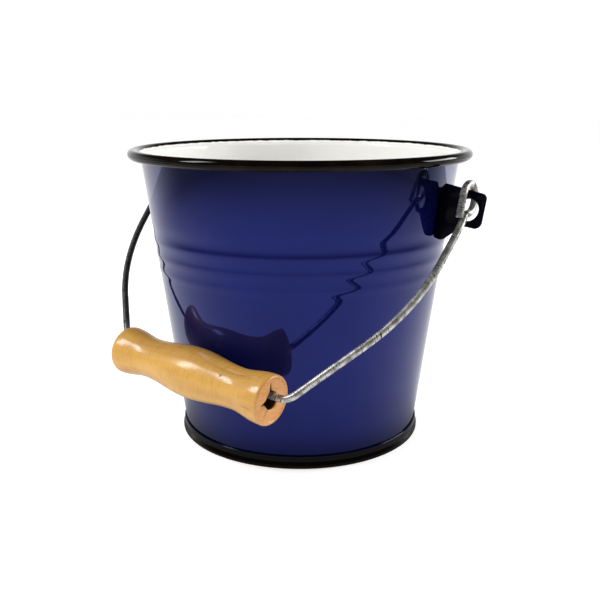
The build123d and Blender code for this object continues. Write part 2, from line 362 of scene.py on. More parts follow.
def face_outwards(mesh):
    """Make every face of a closed mesh point away from its inside."""
    shape = bmesh.new()
    shape.from_mesh(mesh)
    bmesh.ops.recalc_face_normals(shape, faces=shape.faces)
    shape.to_mesh(mesh)
    shape.free()


def turned(name, outline, steps, finish, wander=0.0):
    """Turn a closed outline of (radius, height) points in millimetres about the Z axis."""
    chain = bpy.data.meshes.new("outline")
    chain.from_pydata([(r * MM, 0, z * MM) for r, z in outline], [], [])
    holder = place_mesh("outline", chain)
    piece = keep_result(name, turning_tree, {
        "Outline": holder, "Steps": steps, "Wander": wander * MM, "Wander Scale": WANDER_SCALE,
        "Finish": finish,
    })
    bpy.data.objects.remove(holder)
    face_outwards(piece.data)
    print(name, len(piece.data.polygons), "faces")
    return piece

# %% [markdown]
# ## Outline helpers
#
# An outline is made of short straight runs and arcs, in millimetres.

# %% Points on arcs and lines


def polar(centre, radius, angle):
    """The point this far from a centre, at an angle in degrees."""
    return (centre[0] + radius * cos(radians(angle)), centre[1] + radius * sin(radians(angle)))


def arc(centre, radius, start, end, count):
    """Points along an arc, both ends included, with angles in degrees."""
    return [polar(centre, radius, start + (end - start) * i / count) for i in range(count + 1)]


def run(start, end, step):
    """Points along a straight run, without its end."""
    length = sqrt((end[0] - start[0]) ** 2 + (end[1] - start[1]) ** 2)
    count = max(1, round(length / step))
    return [(start[0] + (end[0] - start[0]) * i / count, start[1] + (end[1] - start[1]) * i / count)
            for i in range(count)]


def rounded(points, radii, count=6, close=True):
    """A polygon with an arc at each corner. A radius of 0 keeps the corner sharp."""
    made = []
    total = len(points)
    for i, radius in enumerate(radii):
        here = Vector(points[i])
        if radius == 0 or (not close and i in (0, total - 1)):
            made.append(tuple(here))
            continue
        before = (Vector(points[i - 1]) - here).normalized()
        after = (Vector(points[(i + 1) % total]) - here).normalized()
        half_angle = before.angle(after) / 2
        centre = here + (before + after).normalized() * radius / sin(half_angle)
        first = here + before * radius / tan(half_angle)
        last = here + after * radius / tan(half_angle)
        start, turn = first - centre, (first - centre).angle_signed(last - centre)
        for k in range(count + 1):
            spoke = start.copy()
            spoke.rotate(Matrix.Rotation(-turn * k / count, 2))
            made.append(tuple(centre + spoke))
    return made


print("corner test:", len(rounded([(0, 0), (1, 0), (1, 1), (0, 1)], [0.1] * 4)))

# %% [markdown]
# ## Vitreous enamel
#
# Vitreous enamel is coloured glass melted on to steel, so it is a smooth dielectric with an index
# near 1.5 and a mirror-like skin. Melting leaves it very slightly wavy, like orange peel, with
# swells 2 to 6 mm across, and here and there a pinhole. The blue coat is deep and almost black in
# itself: most of what the eye sees is the bright room, mirrored in blue. So the blue is mostly in
# the tint of the reflection, and anything dark that stands near, such as the grip, shows in the
# wall almost black. Towards the rim and the foot the blue is painted darker, as painted shade under
# the rim's overhang and near the table.

# %% Enamel colours and sizes
BLUE = paint("#060A38")
PALE_BLUE = paint("#080D40")
DEEP_BLUE = paint("#040514")
BLUE_GLINT = (0.19, 0.24, 1.0, 1)  # light that has been through the glass and back
# Painted shade: the ears' two navies are painted near black for the dark room in front of them
NAVY_BLACK = paint("#01010A")
NAVY = paint("#020312")
BARE_STEEL = paint("#4A4643")
BLACK = paint("#070504")
BROWN_BLACK = paint("#160E09")
WHITE = paint("#F1F0ED")
WARM_WHITE = paint("#EBEAE5")
ENAMEL_IOR = 1.5
ENAMEL_ROUGHNESS = 0.045
ENAMEL_GLOSS = 0.2             # dark enamel's face-on reflection, less than clear glass has
PEEL_SIZE = 3.5                # millimetres from swell to swell
PEEL_DEPTH = 0.004             # millimetres
THICK_PEEL_DEPTH = 0.006       # on the rim and the foot
EAR_PEEL_DEPTH = 0.012         # two coats
# Painted shade: heights between which the blue is painted darker, under the rim and near the foot
RIM_AND_FOOT_PAINTED_SHADE = ((136, 168, DEEP_BLUE), (163, 169, BLACK), (30, 2, DEEP_BLUE))  # from, full at, colour
EDGING_FULL, EDGING_END = 93.9, 93.5    # radii between which the black edging fades to white
PINHOLES = (                   # (x, y, z, radius) in millimetres, near the foot
    (32.1, -66.4, 11.2, 0.8), (9.5, -72.0, 9.9, 0.6), (46.3, -57.5, 13.2, 0.35),
    (20.6, -71.5, 22.0, 0.4), (-24.0, -76.2, 40.0, 0.3), (60.2, -52.0, 60.0, 0.3),
)


def peel(tree, coords, depth=PEEL_DEPTH):
    """The normal for the slight waviness of melted glass."""
    swell = add(tree, "ShaderNodeTexNoise", {
        "Vector": coords, "Scale": 1000 / PEEL_SIZE, "Detail": 1.5, "Roughness": 0.4,
    })
    return add(tree, "ShaderNodeBump", {"Height": swell, "Distance": depth * MM})


def band(tree, value, low, high):
    """0 below low, 1 above high, and a smooth step between. Low may be above high."""
    return add(tree, "ShaderNodeMapRange", {
        "Value": value, "From Min": low, "From Max": high, "To Min": 0.0, "To Max": 1.0,
    }, interpolation_type="SMOOTHSTEP")


def patches(tree, coords, scale, detail, low, high):
    """Soft-edged patches of a noise: 0 where the noise is below low, and 1 above high."""
    wave = add(tree, "ShaderNodeTexNoise", {"Vector": coords, "Scale": scale, "Detail": detail})
    return band(tree, wave, low, high)


def blend(tree, share, first, second):
    """Mix two colours, each a value or a link, by a share that is a link."""
    return add(tree, "ShaderNodeMix", {0: share, 6: first, 7: second},
               data_type="RGBA").outputs[2]


def ragged_height(tree, coords, size, reach):
    """The height above the table, made uneven by a noise of this size and reach in millimetres."""
    height = add(tree, "ShaderNodeSeparateXYZ", {0: coords}).outputs["Z"]
    wave = add(tree, "ShaderNodeTexNoise", {"Vector": coords, "Scale": 1000 / size, "Detail": 3.0})
    return add(tree, "ShaderNodeMath", {0: wave, 1: reach * MM, 2: height},
               operation="MULTIPLY_ADD")


# %% Blue enamel


def blue_enamel():
    """Blue glass with painted shade near the rim and the foot, and a few black pinholes."""
    material, tree, shader, coords = start_material(
        "blue_vitreous_enamel", IOR=ENAMEL_IOR, Roughness=ENAMEL_ROUGHNESS,
        Specular_IOR_Level=1.0, Specular_Tint=BLUE_GLINT,
    )
    colour = blend(tree, patches(tree, coords, 45.0, 4.0, 0.3, 0.75), BLUE, PALE_BLUE)
    height = ragged_height(tree, coords, 30.0, 6.0)
    # Paint the shade under the rim and near the foot into the blue
    for clear, full, shade in RIM_AND_FOOT_PAINTED_SHADE:
        share = band(tree, height, clear * MM, full * MM)
        colour = blend(tree, share, colour, shade)
    holes = 0.0
    for x, y, z, radius in PINHOLES:
        away = add(tree, "ShaderNodeVectorMath", {0: coords, 1: (x * MM, y * MM, z * MM)},
                   operation="DISTANCE").outputs["Value"]
        hole = band(tree, away, 1.3 * radius * MM, 0.8 * radius * MM)
        holes = add(tree, "ShaderNodeMath", {0: holes, 1: hole}, operation="MAXIMUM")
    colour = blend(tree, holes, colour, BLACK)
    plug(tree, shader, Base_Color=colour, Normal=peel(tree, coords))
    return material


# %% White enamel


def white_enamel():
    """White glass with broad, faint clouds where the coat is thinner."""
    material, tree, shader, coords = start_material(
        "white_vitreous_enamel", IOR=ENAMEL_IOR, Roughness=0.08
    )
    colour = blend(tree, patches(tree, coords, 30.0, 4.0, 0.4, 0.7), WHITE, WARM_WHITE)
    plug(tree, shader, Base_Color=colour, Normal=peel(tree, coords))
    return material


# %% Black edging


def black_edging():
    """Black enamel on the rim, ragged where it was wiped over the white inside."""
    material, tree, shader, coords = start_material(
        "black_enamel_edging", IOR=ENAMEL_IOR, Roughness=0.06, Specular_IOR_Level=0.12
    )
    colour = blend(tree, patches(tree, coords, 60.0, 3.0, 0.4, 0.75), BLACK, BROWN_BLACK)
    split = add(tree, "ShaderNodeSeparateXYZ", {0: coords}).outputs
    spread = add(tree, "ShaderNodeCombineXYZ", {0: split["X"], 1: split["Y"]})
    radius = add(tree, "ShaderNodeVectorMath", {0: spread}, operation="LENGTH").outputs["Value"]
    wave = add(tree, "ShaderNodeTexNoise", {"Vector": coords, "Scale": 220.0, "Detail": 3.0})
    ragged = add(tree, "ShaderNodeMath", {0: wave, 1: 1.1 * MM, 2: radius},
                 operation="MULTIPLY_ADD")
    inside = band(tree, ragged, EDGING_FULL * MM, EDGING_END * MM)
    colour = blend(tree, inside, colour, WHITE)
    plug(tree, shader, Base_Color=colour, Normal=peel(tree, coords, THICK_PEEL_DEPTH))
    return material


# %% Foot ring enamel


def foot_enamel():
    """Blue at the top of the foot ring and black below, with bare grey steel worn at the edge."""
    material, tree, shader, coords = start_material(
        "foot_ring_enamel", IOR=ENAMEL_IOR, Specular_IOR_Level=ENAMEL_GLOSS
    )
    height = ragged_height(tree, coords, 4.0, 0.7)
    colour = blend(tree, band(tree, height, 6.6 * MM, 5.4 * MM), DEEP_BLUE, BLACK)
    worn = band(tree, ragged_height(tree, coords, 1.5, 0.9), 0.62 * MM, 0.5 * MM)
    colour = blend(tree, worn, colour, BARE_STEEL)
    rough = add(tree, "ShaderNodeMapRange", {"Value": worn, "To Min": 0.08, "To Max": 0.55})
    plug(tree, shader, Base_Color=colour, Roughness=rough,
         Normal=peel(tree, coords, THICK_PEEL_DEPTH))
    return material


# %% Ear enamel


def ear_enamel():
    """The ears' blue is painted almost black, as painted shade for the dark room in front, and is a
    little uneven.
    """
    material, tree, shader, coords = start_material(
        "ear_enamel_painted_dark", IOR=ENAMEL_IOR, Specular_IOR_Level=0.05
    )
    cloud = add(tree, "ShaderNodeTexNoise", {"Vector": coords, "Scale": 160.0, "Detail": 3.0})
    # Painted shade: the ears are painted far darker than the wall's blue
    colour = blend(tree, band(tree, cloud, 0.4, 0.75), NAVY_BLACK, NAVY)
    rough = add(tree, "ShaderNodeMapRange", {"Value": cloud, "To Min": 0.08, "To Max": 0.16})
    plug(tree, shader, Base_Color=colour, Roughness=rough,
         Normal=peel(tree, coords, EAR_PEEL_DEPTH))
    return material


blue, white, black, foot = blue_enamel(), white_enamel(), black_edging(), foot_enamel()
navy = ear_enamel()
print("enamels:", [m.name for m in (blue, white, black, foot, navy)])

# %% [markdown]
# ## The pail
#
# The wall is one tapered sheet with three shallow beads rolled into it, and it dips slightly above
# the top bead, as rolling tools leave it. The beads are shallow, but a mirror shows them plainly:
# they bend the bail's reflection into a zigzag. At the top the wall turns outwards over a small
# radius and curls round a hidden wire. Each visible coat is its own turned piece: the blue wall,
# the white lining with the floor, the black rim, the pan below and the foot ring.

# %% Sizes of the pail, in millimetres
HEIGHT = 170.95                # leaves room for the rim's slight wander
RIM_RADIUS = 100.0
WALL_RADIUS_AT_FOOT = 71.0
WALL_ANGLE = 7.4               # degrees
STEEL = 0.8
LINING = 0.2
SHEET = STEEL + LINING
CURL_RADIUS = 2.8
LIP_SPLIT = 150.0              # degrees round the lip, where the wall stops and the rim starts
CURL_END = -185.0              # degrees round the curl
WALL_BOTTOM = 4.2
FLOOR_HEIGHT = 8.8
FLOOR_RISE = 1.5
RISE_INNER, RISE_OUTER = 44.0, 49.5    # radii between which the floor rises
FLOOR_CORNER = 6.0
FOOT_RADIUS = 73.7
FOOT_HEIGHT = 7.3
BEADS = ((102.7, 0.28), (111.2, 0.3), (120.0, 0.27))   # (height, how far it stands out)
BEAD_WIDTH = 2.3               # spread of each bead's smooth swell
DIP_HEIGHT = 126.0
DIP_DEPTH = 0.15
DIP_WIDTH = 3.2
SLOPE = tan(radians(WALL_ANGLE))
CURL_CENTRE = (RIM_RADIUS - CURL_RADIUS, HEIGHT - CURL_RADIUS)
LIP_RADIUS = (
    (CURL_CENTRE[0] - WALL_RADIUS_AT_FOOT - (HEIGHT - SHEET) * SLOPE)
    * cos(radians(WALL_ANGLE)) / (1 - sin(radians(WALL_ANGLE)))
)
LIP_CENTRE = (CURL_CENTRE[0], HEIGHT - SHEET - LIP_RADIUS)


def swell(z):
    """How far the rolled beads stand out from the cone at this height."""
    beads = sum(depth * exp(-(((z - at) / BEAD_WIDTH) ** 2)) for at, depth in BEADS)
    return beads - DIP_DEPTH * exp(-(((z - DIP_HEIGHT) / DIP_WIDTH) ** 2))


def wall_point(z, depth=0.0):
    """Point on the wall at height z, this deep under its outer surface."""
    radius = WALL_RADIUS_AT_FOOT + z * SLOPE + (swell(z) - depth) / cos(radians(WALL_ANGLE))
    return (radius, z)


def wall_line(depth, low, step=1.0):
    """The wall from height low up to the lip's split."""
    top = polar(LIP_CENTRE, LIP_RADIUS + depth, 180 - WALL_ANGLE)
    count = round((top[1] - low) / step)
    points = [wall_point(low + (top[1] - low) * i / count, depth) for i in range(count)]
    return points + arc(LIP_CENTRE, LIP_RADIUS + depth, 180 - WALL_ANGLE, LIP_SPLIT, 6)


print("lip radius", round(LIP_RADIUS, 2), "mm")

# %% Turn the pail's pieces
STEPS = 256

outer, inner = wall_line(0, WALL_BOTTOM), wall_line(STEEL, WALL_BOTTOM, 4.0)
wall = turned("enamelled_wall", outer + inner[::-1] + outer[:1], STEPS, blue, WANDER)


def floor_line(height):
    """The pail's floor from its middle outwards, raised in the middle."""
    return [(0, height + FLOOR_RISE), (RISE_INNER, height + FLOOR_RISE), (RISE_OUTER, height)]


floor_top, rise = floor_line(FLOOR_HEIGHT), FLOOR_HEIGHT + LINING
low_side = rounded(
    floor_top + [wall_point(FLOOR_HEIGHT, STEEL)], [0, FLOOR_CORNER, FLOOR_CORNER, 0], close=False
)
top_side = rounded(
    floor_line(rise) + [wall_point(rise, SHEET), wall_point(rise + 6, SHEET)],
    [0, FLOOR_CORNER, FLOOR_CORNER, 3, 0], close=False,
)
lining_outline = low_side + wall_line(STEEL, FLOOR_HEIGHT + 1, 4.0) + (
    top_side + wall_line(SHEET, rise + 7)
)[::-1]
lining = turned("white_lining", lining_outline, STEPS, white, WANDER)

inner_curl = CURL_RADIUS - SHEET
tip = polar(CURL_CENTRE, CURL_RADIUS - SHEET / 2, CURL_END)
rim_outline = (
    arc(LIP_CENTRE, LIP_RADIUS + SHEET + 0.02, LIP_SPLIT, 90, 12)
    + arc(CURL_CENTRE, CURL_RADIUS, 90, CURL_END, 40)[1:]
    + arc(tip, SHEET / 2, CURL_END, CURL_END - 180, 6)[1:-1]
    + arc(CURL_CENTRE, inner_curl, CURL_END, 90, 24)
    + arc(LIP_CENTRE, LIP_RADIUS - 0.02, 90, LIP_SPLIT, 8)
)
rim = turned("rolled_rim", rim_outline + rim_outline[:1], STEPS, black, WANDER)

# %% Pan and foot ring
top_edge, low_edge = wall_point(FLOOR_HEIGHT, STEEL), wall_point(FLOOR_HEIGHT - STEEL, 2 * STEEL)
pan_top = rounded(
    floor_top + [top_edge, wall_point(WALL_BOTTOM, STEEL)],
    [0, FLOOR_CORNER, FLOOR_CORNER, 1.2, 0], close=False,
)
pan_low = rounded(
    floor_line(FLOOR_HEIGHT - STEEL) + [low_edge, wall_point(WALL_BOTTOM, 2 * STEEL)],
    [0, FLOOR_CORNER, FLOOR_CORNER, 0.6, 0], close=False,
)
pan = turned("bottom_pan_enamel", pan_top + pan_low[::-1], 128, blue)

lap, top = wall_point(WALL_BOTTOM), wall_point(FOOT_HEIGHT)
foot_outline = rounded(
    [top, (top[0] + 1.0, FOOT_HEIGHT), (lap[0] + 1.0, WALL_BOTTOM), (FOOT_RADIUS, 1.8),
     (FOOT_RADIUS, 0), (FOOT_RADIUS - 1.8, 0), (FOOT_RADIUS - 1.8, 1.6), lap],
    [0, 0.45, 2.0, 1.0, 0.7, 0.3, 0.5, 0],
)
foot_ring = turned("foot_ring_band", foot_outline + foot_outline[:1], STEPS, foot)
print("pail pieces:", [o.name for o in (wall, lining, rim, pan, foot_ring)])

# %% [markdown]
# ## Ears
#
# Each ear starts as a flat blank of 1.6 mm steel with a punched hole. It is folded once: one leg
# is curved to the wall and spot welded, and the other stands straight out to carry the bail's eye.
# The blank is a filled curve with a fine bevel, because enamel always rounds an edge. Then it is
# cut across at close steps and every point is carried round the fold, so the fold is a true bend.

# %% Draw the flat blank
EAR_SHEET = 1.6
BEND_RADIUS = 2.2
EAR_BEVEL = 0.45
BLANK = (                      # (distance out from the fold, height), and the corner's radius
    ((-22.4, 152.5), 5.0), ((-1.4, 152.8), 1.0), ((0.3, 155.6), 1.2), ((24.45, 151.0), 3.0),
    ((24.0, 132.3), 3.5), ((14.0, 133.6), 3.0), ((3.2, 124.6), 4.0), ((-2.2, 126.5), 3.0),
    ((-22.4, 126.5), 5.0),
)
HOLE_CENTRE = (15.4, 142.4)
HOLE_RADIUS = 5.9


def ear_root(z):
    """How far from the axis the wall is at this height, with its beads left out."""
    return WALL_RADIUS_AT_FOOT + z * SLOPE


def closed_spline(curve, points):
    """Add a closed chain of points in millimetres to a curve."""
    spline = curve.splines.new("POLY")
    spline.points.add(len(points) - 1)
    for point, (x, y) in zip(spline.points, points):
        point.co = (x * MM, y * MM, 0, 1)
    spline.use_cyclic_u = True


def flat_blank():
    """The blank's mesh: a filled curve with a hole, as thick as the sheet, with rounded edges."""
    curve = bpy.data.curves.new("ear_blank", "CURVE")
    curve.dimensions = "2D"
    curve.fill_mode = "BOTH"
    curve.extrude = (EAR_SHEET / 2 - EAR_BEVEL) * MM
    curve.bevel_depth = EAR_BEVEL * MM
    curve.bevel_resolution = 3
    curve.offset = -EAR_BEVEL * MM
    closed_spline(curve, rounded([p for p, r in BLANK], [r for p, r in BLANK], 8))
    closed_spline(curve, arc(HOLE_CENTRE, HOLE_RADIUS, 0, 360, 48)[:-1])
    holder = bpy.data.objects.new("ear_blank", curve)
    mesh = bpy.data.meshes.new_from_object(holder)
    bpy.data.objects.remove(holder)
    return mesh


# %% Fold it round the wall


def fold_point(x, z, depth):
    """Where a point of the blank goes: out from the fold, height, and depth through the sheet."""
    root = ear_root(z)
    middle = BEND_RADIUS - EAR_SHEET / 2
    quarter = middle * pi / 2
    if x >= 0:
        return (root + BEND_RADIUS + x, depth, z)
    if x > -quarter:
        angle = -x / middle
        reach = middle - depth
        return (root + BEND_RADIUS - reach * sin(angle), middle - reach * cos(angle), z)
    radius = root + EAR_SHEET / 2 + depth + 0.05
    turn = asin(middle / radius) + (-x - quarter) / radius
    return (radius * cos(turn), radius * sin(turn), z)


def make_ear(name, half_turn):
    """Cut the blank across at close steps, fold it, and turn it half round for the far side."""
    shape = bmesh.new()
    shape.from_mesh(flat_blank())
    bmesh.ops.remove_doubles(shape, verts=shape.verts, dist=0.01 * MM)
    cuts = [-0.25 * i for i in range(10)] + [-2.5 - 1.5 * i for i in range(14)]
    for x in cuts:
        everything = shape.verts[:] + shape.edges[:] + shape.faces[:]
        bmesh.ops.bisect_plane(shape, geom=everything, plane_co=(x * MM, 0, 0),
                               plane_no=(1, 0, 0), dist=0.001 * MM)
    for vert in shape.verts:
        x, z, depth = (c / MM for c in vert.co)
        vert.co = Vector(fold_point(x, z, depth)) * MM
    if half_turn:
        bmesh.ops.rotate(shape, verts=shape.verts, matrix=Matrix.Rotation(pi, 3, "Z"))
    bmesh.ops.recalc_face_normals(shape, faces=shape.faces)
    mesh = bpy.data.meshes.new(name)
    shape.to_mesh(mesh)
    shape.free()
    mesh.polygons.foreach_set("use_smooth", [True] * len(mesh.polygons))
    mesh.set_sharp_from_angle(angle=radians(35))
    mesh.materials.append(navy)
    print(name, len(mesh.polygons), "faces")
    return place_mesh(name, mesh)


ear_right, ear_left = make_ear("right_ear", False), make_ear("left_ear", True)

# %% [markdown]
# ## Bail wire
#
# The bail is one length of galvanised wire, 3.9 mm thick. Each end goes through its ear and round
# the strip above the hole, and stops beside the shank. Zinc goes on molten and dulls to a matt grey
# with pale spangle, and the coat flakes in short dark nicks across the wire. The left shank is
# painted dark, as painted shade. A tree sweeps a circle along the path. It keeps the distance along
# the wire as an attribute, so that the nicks and the painted shade can follow the wire round every
# bend.

# %% Sizes of the bail, in millimetres
PIVOT_HALF_SPAN = 108.0
PIVOT_HEIGHT = 150.6
REST_ANGLE = 44.1
WIRE_RADIUS = 1.95
EYE_RADIUS = 7.8
EYE_OFFSET = 2.9
EYE_TIP = (16.4, -1.4)         # the wire's end: out from the pivot, and across
SHANK_OFFSET = 3.1
NECK_RADIUS = 5.0
SHANK_END = 20.0
BOW = (                        # (along X, out from the pivot), and the bend's radius
    ((PIVOT_HALF_SPAN, SHANK_END), 60.0), ((103.2, 71.6), 110.0), ((57.3, 134.1), 9.0),
    ((-59.4, 126.3), 6.0), ((-102.9, 69.9), 110.0), ((-PIVOT_HALF_SPAN, SHANK_END), 60.0),
)


def on_bail(s, t, w=0.0):
    """Place a point of the hanging bail: along X, out from the pivot, and across its plane."""
    angle = radians(REST_ANGLE)
    return Vector((s, -t * cos(angle) + w * sin(angle),
                   PIVOT_HEIGHT - t * sin(angle) - w * cos(angle)))


def eye_points(side):
    """From the eye's straight tip, round its ring and through the neck to the shank."""
    out, across = EYE_TIP[0] - EYE_OFFSET, EYE_TIP[1]
    leave = 360 + degrees(atan2(across, out) - acos(EYE_RADIUS / sqrt(out**2 + across**2)))
    reach, neck_w = EYE_RADIUS + NECK_RADIUS, SHANK_OFFSET + NECK_RADIUS
    neck_t = EYE_OFFSET + sqrt(reach**2 - neck_w**2)
    joint = degrees(atan2(neck_w, neck_t - EYE_OFFSET))
    ring = arc((EYE_OFFSET, 0), EYE_RADIUS, leave, joint, 60)
    neck = arc((neck_t, neck_w), NECK_RADIUS, 180 + joint, 270, 10)[1:]
    flat = run(EYE_TIP, ring[0], 1.0) + ring + neck
    return [on_bail(side * PIVOT_HALF_SPAN, t, w) for t, w in flat]


def bail_points():
    """The wire's middle line from one eye's tip to the other's."""
    right, left = eye_points(1), eye_points(-1)
    ends = [(side * PIVOT_HALF_SPAN, SHANK_END - 5.0) for side in (1, -1)]
    corners = [ends[0]] + [p for p, r in BOW] + [ends[1]]
    bow = rounded(corners, [0] + [r for p, r in BOW] + [0], 24, close=False)[1:-1]
    return right + [on_bail(s, t, SHANK_OFFSET) for s, t in bow] + left[::-1]


bail_route = bail_points()
length = sum((a - b).length for a, b in zip(bail_route, bail_route[1:]))
print("bail wire", round(length), "mm long")

# %% The wire tree


def make_wire_tree():
    tree, given = start_tree("draw_wire", (
        ("Path", "Object", None), ("Wire Radius", "Float", 0.002), ("Sides", "Int", 24),
        ("Step", "Float", 0.001), ("Unevenness", "Float", 0.0), ("Finish", "Material", None),
    ))
    path = add(tree, "GeometryNodeObjectInfo", {"Object": given["Path"]}).outputs["Geometry"]
    even = add(tree, "GeometryNodeResampleCurve", {"Curve": path, "Length": given["Step"]},
               mode="LENGTH")
    wave = add(tree, "ShaderNodeTexNoise", {"Scale": 35.0, "Detail": 1.0}).outputs["Color"]
    drift = add(tree, "ShaderNodeVectorMath", {0: wave, 1: (0.5, 0.5, 0.5)}, operation="SUBTRACT")
    shift = add(tree, "ShaderNodeVectorMath", {0: drift, "Scale": given["Unevenness"]},
                operation="SCALE")
    bent = add(tree, "GeometryNodeSetPosition", {"Geometry": even, "Offset": shift})
    distance = add(tree, "GeometryNodeSplineParameter").outputs["Length"]
    marked = add(tree, "GeometryNodeStoreNamedAttribute", {
        "Geometry": bent, "Name": "along", "Value": distance,
    }, data_type="FLOAT", domain="POINT")
    circle = add(tree, "GeometryNodeCurvePrimitiveCircle", {
        "Resolution": given["Sides"], "Radius": given["Wire Radius"],
    })
    swept = add(tree, "GeometryNodeCurveToMesh", {
        "Curve": marked, "Profile Curve": circle, "Fill Caps": True,
    })
    end_tree(tree, swept, given["Finish"])
    return tree


wire_tree = make_wire_tree()
print("wire tree:", len(wire_tree.nodes), "nodes")

# %% Galvanised steel
# Painted shade on the left shank: the wire is painted dark from here on
LEFT_SHANK_SHADE_FROM = 0.300           # metres along the wire, from the right end
LEFT_SHANK_SHADE_FULL = 0.325
LEFT_SHANK_SHADE_SHARE = 0.86
PALE_ZINC, GREY_ZINC = paint("#D6D5D1"), paint("#8E8C87")
LEFT_SHANK_SHADE, NICK, GRIT = paint("#2C2622"), paint("#211D1A"), paint("#2E2A26")


def galvanised_steel():
    """Hot-dipped zinc, dull with age: soft spangle, dark nicks, and a left shank in painted shade.
    """
    material, tree, shader, coords = start_material("galvanised_steel_wire", Metallic=0.75)
    along = add(tree, "ShaderNodeAttribute", attribute_name="along").outputs["Fac"]
    spangle = add(tree, "ShaderNodeTexNoise", {"Vector": coords, "Scale": 260.0, "Detail": 5.0})
    colour = blend(tree, band(tree, spangle, 0.35, 0.68), PALE_ZINC, GREY_ZINC)
    # Painted shade: darkens the left shank
    left_shank_shade_mask = band(tree, along, LEFT_SHANK_SHADE_FROM, LEFT_SHANK_SHADE_FULL)
    painted_shank_shade = add(tree, "ShaderNodeMath", {0: left_shank_shade_mask, 1: LEFT_SHANK_SHADE_SHARE}, operation="MULTIPLY")
    colour = blend(tree, painted_shank_shade, colour, LEFT_SHANK_SHADE)
    far = add(tree, "ShaderNodeMath", {0: along, 1: 1300.0}, operation="MULTIPLY")
    near = add(tree, "ShaderNodeVectorMath", {0: coords, "Scale": 420.0}, operation="SCALE")
    axis = add(tree, "ShaderNodeCombineXYZ", {2: far})
    across = add(tree, "ShaderNodeVectorMath", {0: near, 1: axis}, operation="ADD")
    nicks = patches(tree, across, 1.0, 2.0, 0.56, 0.63)
    where = patches(tree, coords, 55.0, 2.0, 0.44, 0.55)
    marks = add(tree, "ShaderNodeMath", {0: nicks, 1: where}, operation="MULTIPLY")
    colour = blend(tree, marks, colour, NICK)
    specks = add(tree, "ShaderNodeMath", {
        0: patches(tree, coords, 1400.0, 3.0, 0.55, 0.66), 1: 0.7,
    }, operation="MULTIPLY")
    colour = blend(tree, specks, colour, GRIT)
    rough = add(tree, "ShaderNodeMapRange", {"Value": spangle, "To Min": 0.28, "To Max": 0.5})
    height = add(tree, "ShaderNodeMath", {0: marks, 1: -1.0, 2: spangle}, operation="MULTIPLY_ADD")
    bump = add(tree, "ShaderNodeBump", {"Height": height, "Distance": 0.05 * MM})
    plug(tree, shader, Base_Color=colour, Roughness=rough, Normal=bump)
    return material


zinc = galvanised_steel()
print("tarnish from", LEFT_SHANK_SHADE_FROM, "m along the wire")

# %% Sweep the wire
WIRE_SIDES = 24
WIRE_STEP = 1.0
WIRE_UNEVENNESS = 0.25

path_curve = bpy.data.curves.new("bail_path", "CURVE")
path_curve.dimensions = "3D"
path_spline = path_curve.splines.new("POLY")
path_spline.points.add(len(bail_route) - 1)
for point, place in zip(path_spline.points, bail_route):
    point.co = (*(place * MM), 1)
path_holder = bpy.data.objects.new("bail_path", path_curve)
scene.collection.objects.link(path_holder)
bail = keep_result("galvanised_bail", wire_tree, {
    "Path": path_holder, "Wire Radius": WIRE_RADIUS * MM, "Sides": WIRE_SIDES,
    "Step": WIRE_STEP * MM, "Unevenness": WIRE_UNEVENNESS * MM, "Finish": zinc,
})
bpy.data.objects.remove(path_holder)
face_outwards(bail.data)
bail.data.set_sharp_from_angle(angle=radians(50))
print("bail mesh", len(bail.data.polygons), "faces")

# %% [markdown]
# ## Wooden grip
#
# The grip is turned from pale, close-grained wood such as beech and dipped in clear lacquer, which
# makes it honey coloured. The turning tool leaves fine rings round it that break up the shine, and
# short flecks of the grain run down it. The cut ends soak up more lacquer, so they are redder and
# duller.

# %% Lacquered wood
HONEY, DARK_HONEY = paint("#CB9A46"), paint("#B7873A")
RING, FLECK = paint("#A06C28"), paint("#8A5524")
END_GRAIN, DARK_END_GRAIN = paint("#C98E4B"), paint("#B5793C")
# Painted shade: the first colour below is painted into the bore and its cracks, where shade falls
BORE_PAINTED_SHADE, KNOT_BROWN = paint("#3A200E"), paint("#2E1B0C")
KNOT = (-8.0, 8.0, 25.5)       # a pin knot's place on the grip, along its own axes
KNOT_RADIUS = 1.0
# Painted shade: nearer the axis than this and below an end face, in the bore and its cracks, the
# wood is painted dark
BORE_SHADE_RADIUS = 10.8              # nearer the axis than this, wood below an end face is bare and dark
GRIP_LENGTH = 107.0
GRIP_SHIFT = -4.5
GRIP_HANG_RIGHT = (2.3, 0.75)  # how far the grip's axis hangs off the wire: out, and across
GRIP_HANG_LEFT = (1.85, -1.25)


def beside_wire(corner, hang):
    """Point of the grip's axis beside one corner of the bow."""
    return on_bail(corner[0], corner[1] + hang[0], SHANK_OFFSET + hang[1])


right_end = beside_wire(BOW[2][0], GRIP_HANG_RIGHT)
left_end = beside_wire(BOW[3][0], GRIP_HANG_LEFT)
grip_along = (right_end - left_end).normalized()
grip_middle = left_end + (right_end - left_end) * (
    (GRIP_SHIFT - left_end.x) / (right_end.x - left_end.x)
)
grip_turn = grip_along.to_track_quat("Z", "Y").to_matrix().to_4x4()
grip_place = Matrix.Translation(grip_middle * MM) @ grip_turn


